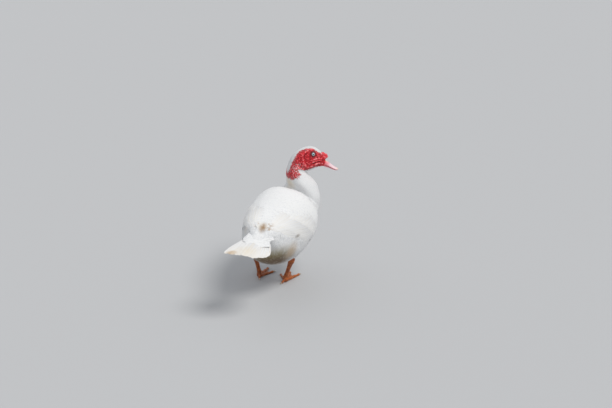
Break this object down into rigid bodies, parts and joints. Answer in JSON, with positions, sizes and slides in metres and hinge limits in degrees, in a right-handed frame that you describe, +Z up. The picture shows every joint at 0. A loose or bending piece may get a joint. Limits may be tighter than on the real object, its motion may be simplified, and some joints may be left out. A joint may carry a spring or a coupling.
{
  "type": "muscovy duck",
  "caption": "White muscovy drake standing still with its head turned to its right, folded wings, fanned tail and red caruncled face.",
  "frame": {"origin": "on the ground, at the bottom centre of the bird's bounding box", "axes": "+Z up; the body faces -Y, with the tail towards +Y and the bird's left side towards +X; the head is turned about 67 degrees to the bird's right, towards -X"},
  "size_m": [0.2423, 0.5725, 0.37],
  "materials": {
    "body_plumage": "white contour feathers, fluffed at the flanks and vent",
    "neck_plumage": "short white neck feathers",
    "wing_plumage": "white flight feathers and coverts, cream at the tips",
    "tail_plumage": "white tail feathers with cream and beige stains",
    "thigh_plumage": "white thigh feathers, cream at the lower end",
    "face_skin": "bare red caruncled skin, slightly moist",
    "bill_horn": "pink horn, satin",
    "bill_nail": "pale horn, satin",
    "eye": "wet pale blue-grey iris with a black pupil",
    "leg_skin": "orange-brown scaled skin",
    "claw": "dull brown horn"
  },
  "bodies": {
    "root": {"torso": "body_plumage", "neck": "neck_plumage", "head": "face_skin", "bill_upper": "bill_horn", "bill_lower": "bill_horn", "bill_nail": "bill_nail", "tail": "tail_plumage", "eye_left": "eye", "wing_left": "wing_plumage", "thigh_left": "thigh_plumage", "leg_left": "leg_skin", "foot_left": "leg_skin", "claw_left_inner": "claw", "claw_left_middle": "claw", "claw_left_outer": "claw", "claw_left_hallux": "claw", "eye_right": "eye", "wing_right": "wing_plumage", "thigh_right": "thigh_plumage", "leg_right": "leg_skin", "foot_right": "leg_skin", "claw_right_inner": "claw", "claw_right_middle": "claw", "claw_right_outer": "claw", "claw_right_hallux": "claw"}
  },
  "joints": []
}
